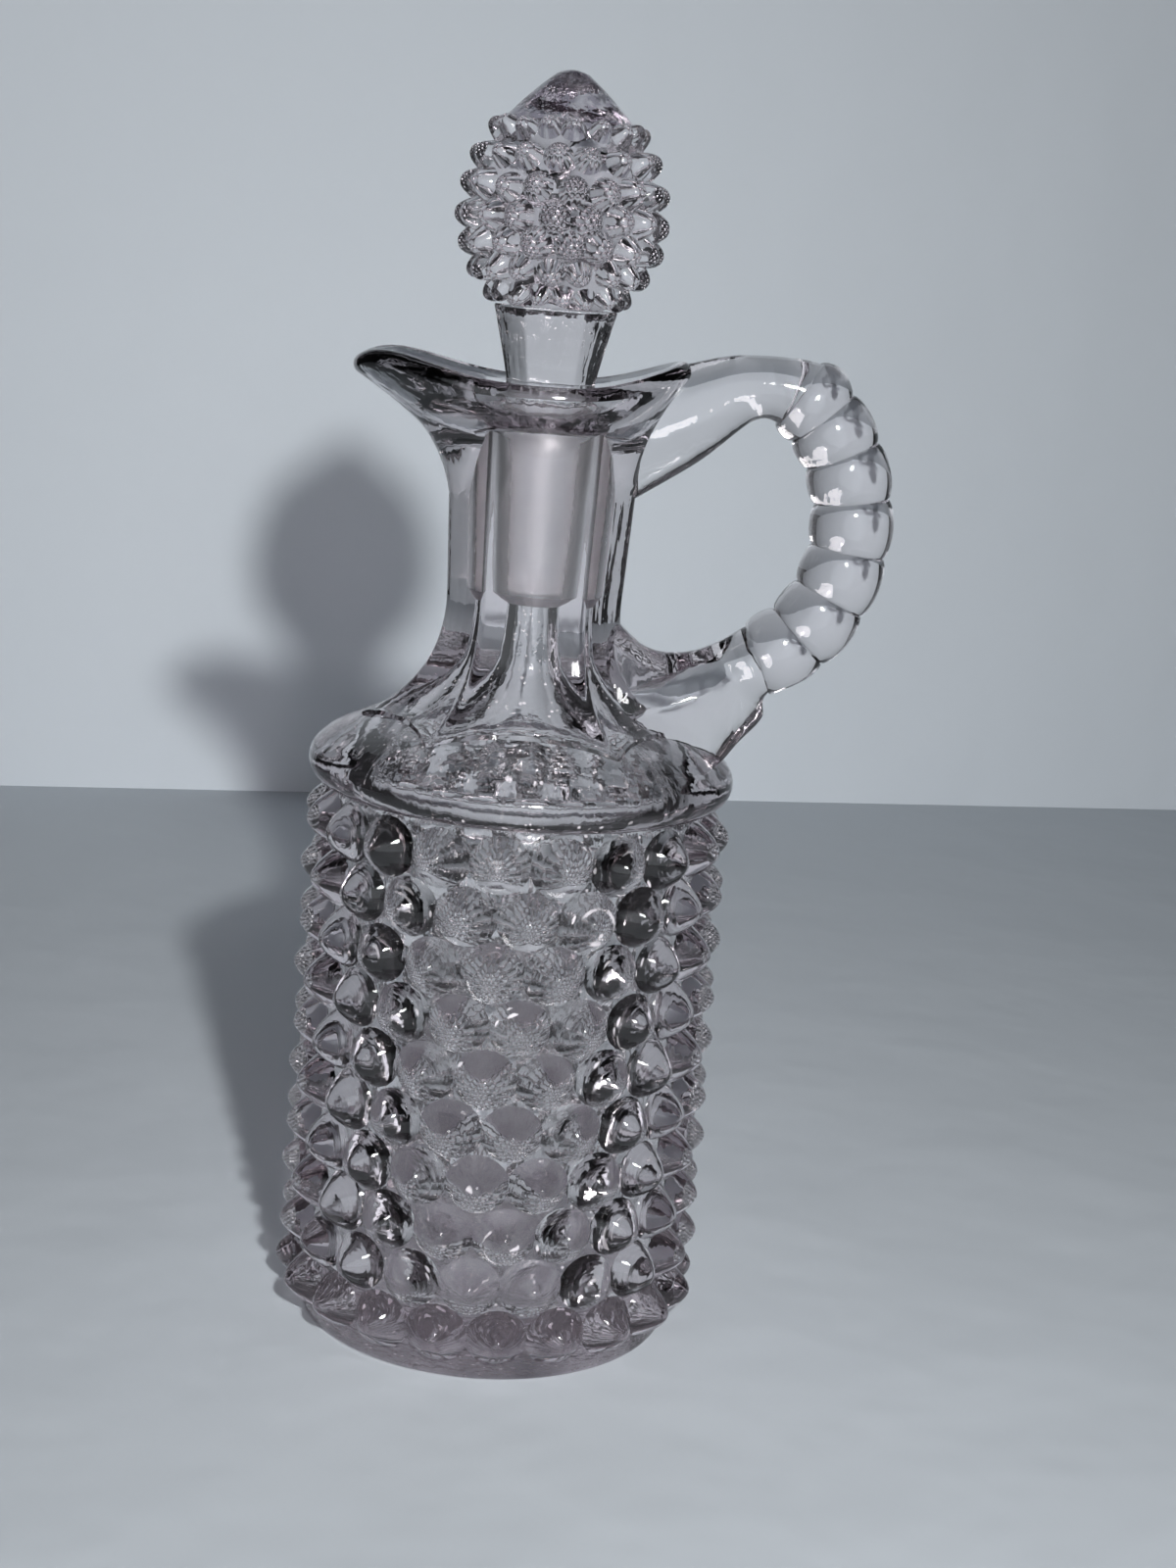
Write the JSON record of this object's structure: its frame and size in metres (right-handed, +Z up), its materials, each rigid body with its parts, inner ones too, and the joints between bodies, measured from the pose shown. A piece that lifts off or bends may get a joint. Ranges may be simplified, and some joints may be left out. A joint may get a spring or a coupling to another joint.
{
  "type": "cruet",
  "caption": "Pressed-glass cruet with hobnail barrel, panelled neck, pouring lip and beaded loop handle, closed by a loose ground stopper with a hobnail knob.",
  "frame": {"origin": "middle of the flat base, on the axis of the bottle", "axes": "+Z up the axis of the bottle, +X towards the handle, -X towards the pouring spout, -Y towards the front"},
  "size_m": [0.0684, 0.0528, 0.1509],
  "materials": {
    "clear_glass": "fire-polished pressed glass, faint lilac-grey tint",
    "stopper_glass": "clear pressed glass, with a ground and frosted plug"
  },
  "bodies": {
    "bottle": {"cruet_body": "clear_glass"},
    "stopper": {"stopper": "stopper_glass"}
  },
  "joints": [
    {"name": "stopper_lift", "type": "slide", "parent": "bottle", "child": "stopper", "axis": [0, 0, 1], "range_m": [0, 0.035]}
  ]
}
